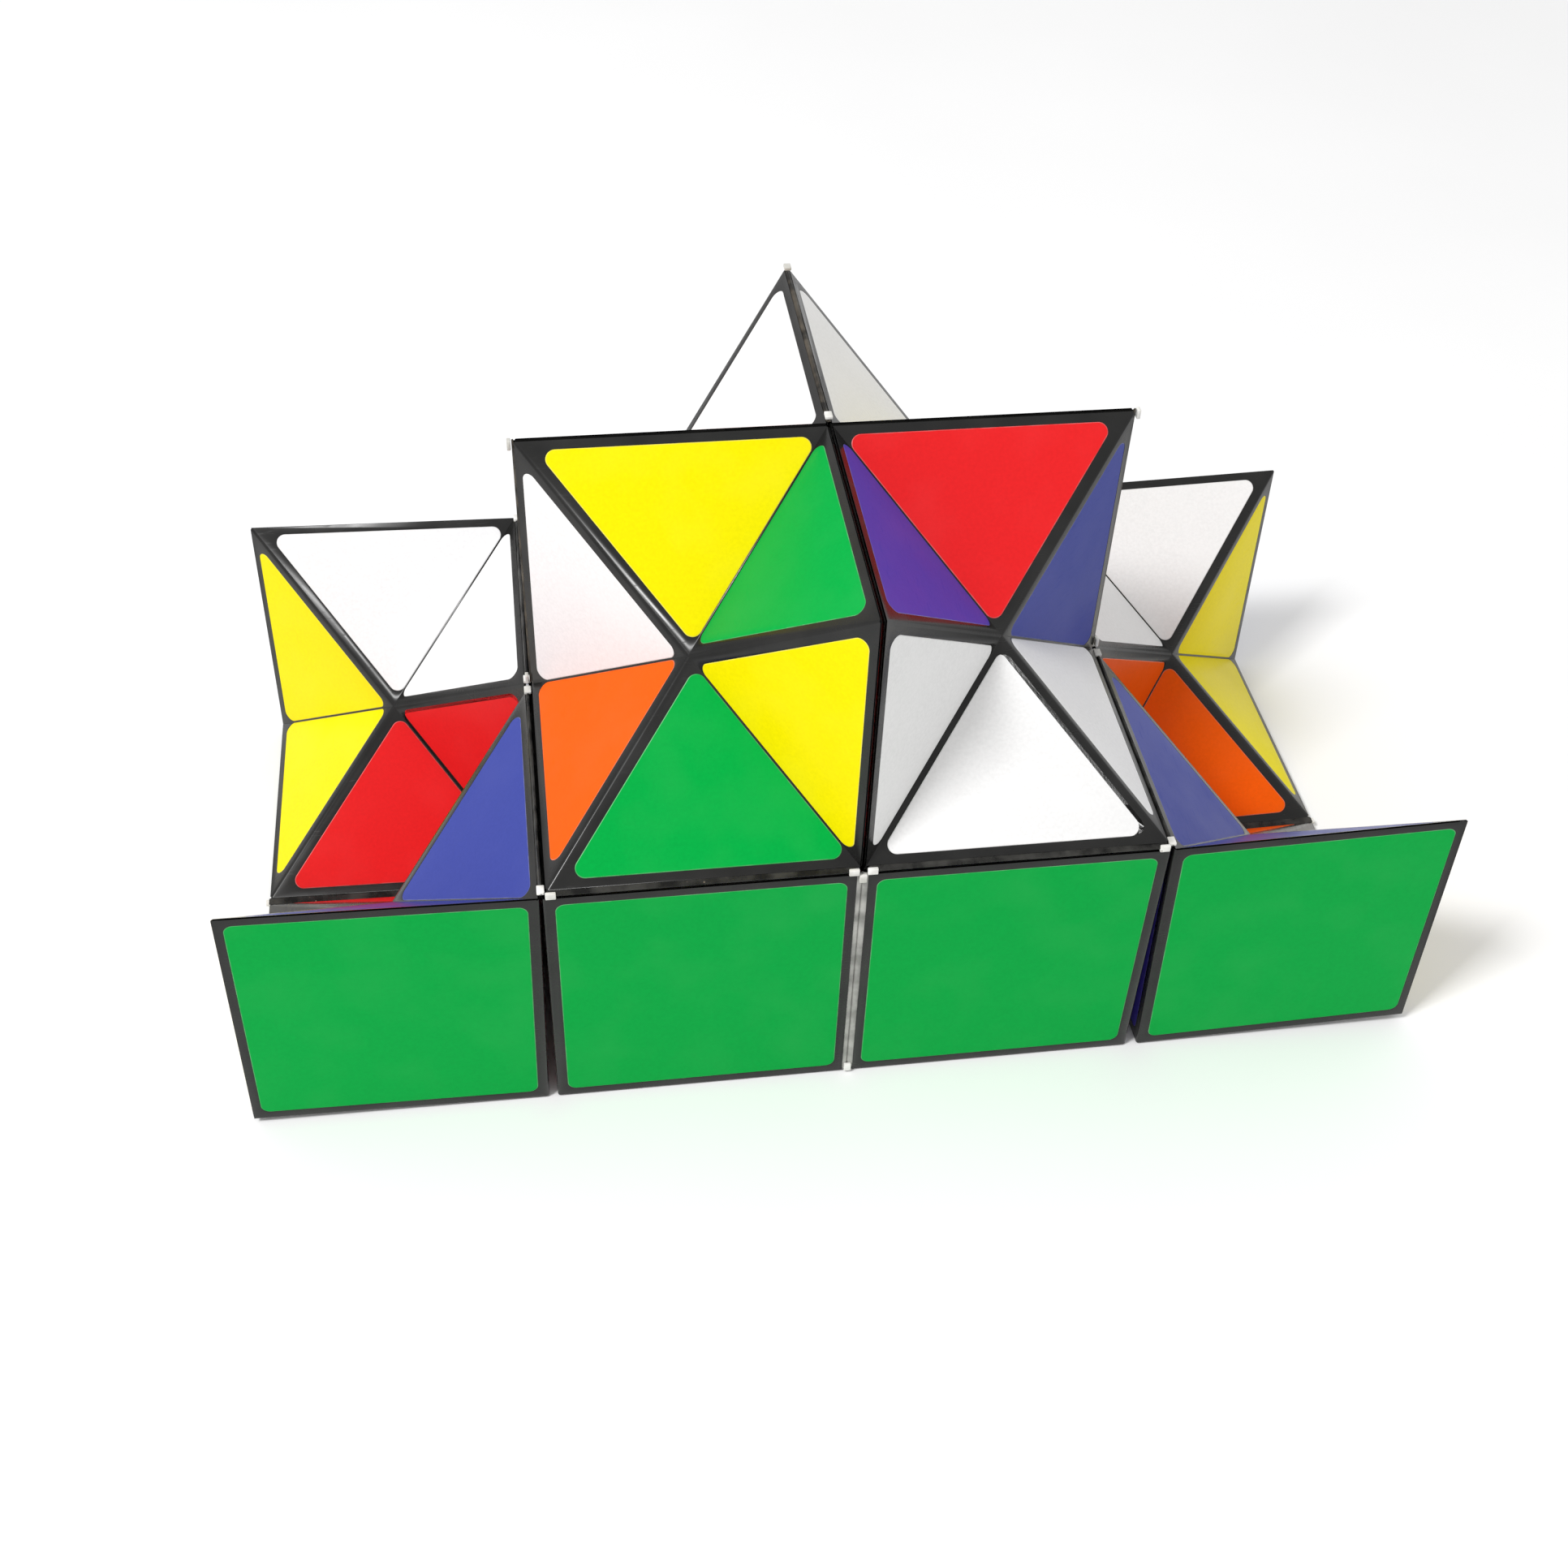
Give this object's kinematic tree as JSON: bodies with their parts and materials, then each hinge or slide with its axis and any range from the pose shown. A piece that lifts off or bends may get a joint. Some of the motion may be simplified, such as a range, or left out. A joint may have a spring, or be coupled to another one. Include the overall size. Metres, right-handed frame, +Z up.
{
  "type": "folding cube puzzle",
  "caption": "Folding cube puzzle: a closed loop of hinged half-cubes opened flat as a case, with a second loop folded into a star nested in its middle.",
  "frame": {"origin": "middle of the bottom of the open case, on the surface it lies on", "axes": "+X along the four-cell row, to the right door; +Y to the rear row; +Z up"},
  "size_m": [0.1408, 0.0701, 0.0694],
  "materials": {
    "shell": "moulded black plastic, polished, with fine handling marks",
    "sticker_set": "glossy printed film stickers in green, white, yellow, red, blue, purple and orange",
    "film": "translucent hinge film, slightly cloudy"
  },
  "bodies": {
    "case_base": {"base_film_hinges": "film", "case_front_left_cap": "shell", "case_front_left_stickers": "sticker_set", "case_front_left_tray": "shell", "case_front_right_cap": "shell", "case_front_right_stickers": "sticker_set", "case_front_right_tray": "shell", "case_rear_left_cap": "shell", "case_rear_left_stickers": "sticker_set", "case_rear_left_tray": "shell", "case_rear_right_cap": "shell", "case_rear_right_stickers": "sticker_set", "case_rear_right_tray": "shell", "left_hinge_base_leaves": "film", "right_hinge_base_leaves": "film"},
    "left_door": {"case_front_left_door_cap": "shell", "case_front_left_door_stickers": "sticker_set", "case_front_left_door_tray": "shell", "case_rear_left_door_cap": "shell", "case_rear_left_door_stickers": "sticker_set", "case_rear_left_door_tray": "shell", "left_door_film_hinge": "film", "left_hinge_door_leaves": "film"},
    "right_door": {"case_front_right_door_cap": "shell", "case_front_right_door_stickers": "sticker_set", "case_front_right_door_tray": "shell", "case_rear_right_door_cap": "shell", "case_rear_right_door_stickers": "sticker_set", "case_rear_right_door_tray": "shell", "right_door_film_hinge": "film", "right_hinge_door_leaves": "film"},
    "star_lower": {"star_hinge_lower_leaves": "film", "star_lower_film_hinges": "film", "star_lower_front_left_cap": "shell", "star_lower_front_left_stickers": "sticker_set", "star_lower_front_left_tray": "shell", "star_lower_front_right_cap": "shell", "star_lower_front_right_stickers": "sticker_set", "star_lower_front_right_tray": "shell", "star_lower_rear_left_cap": "shell", "star_lower_rear_left_stickers": "sticker_set", "star_lower_rear_left_tray": "shell", "star_lower_rear_right_cap": "shell", "star_lower_rear_right_stickers": "sticker_set", "star_lower_rear_right_tray": "shell"},
    "star_upper": {"star_hinge_upper_leaves": "film", "star_upper_film_hinges": "film", "star_upper_front_left_cap": "shell", "star_upper_front_left_stickers": "sticker_set", "star_upper_front_left_tray": "shell", "star_upper_front_right_cap": "shell", "star_upper_front_right_stickers": "sticker_set", "star_upper_front_right_tray": "shell", "star_upper_rear_left_cap": "shell", "star_upper_rear_left_stickers": "sticker_set", "star_upper_rear_left_tray": "shell", "star_upper_rear_right_cap": "shell", "star_upper_rear_right_stickers": "sticker_set", "star_upper_rear_right_tray": "shell"}
  },
  "joints": [
    {"name": "left_door_fold", "type": "hinge", "parent": "case_base", "child": "left_door", "pos_m": [-0.035, 0, 0.03485], "axis": [0, 1, 0], "range_deg": [-1.2, 178.8]},
    {"name": "right_door_fold", "type": "hinge", "parent": "case_base", "child": "right_door", "pos_m": [0.035, 0, 0.03485], "axis": [0, -1, 0], "range_deg": [-1.8, 178.2]},
    {"name": "star_lift", "type": "slide", "parent": "case_base", "child": "star_lower", "axis": [0, 0, 1], "range_m": [0, 0.08]},
    {"name": "star_flip", "type": "hinge", "parent": "star_lower", "child": "star_upper", "pos_m": [0, -0.035, 0.03485], "axis": [1, 0, 0], "range_deg": [0, 180]}
  ]
}
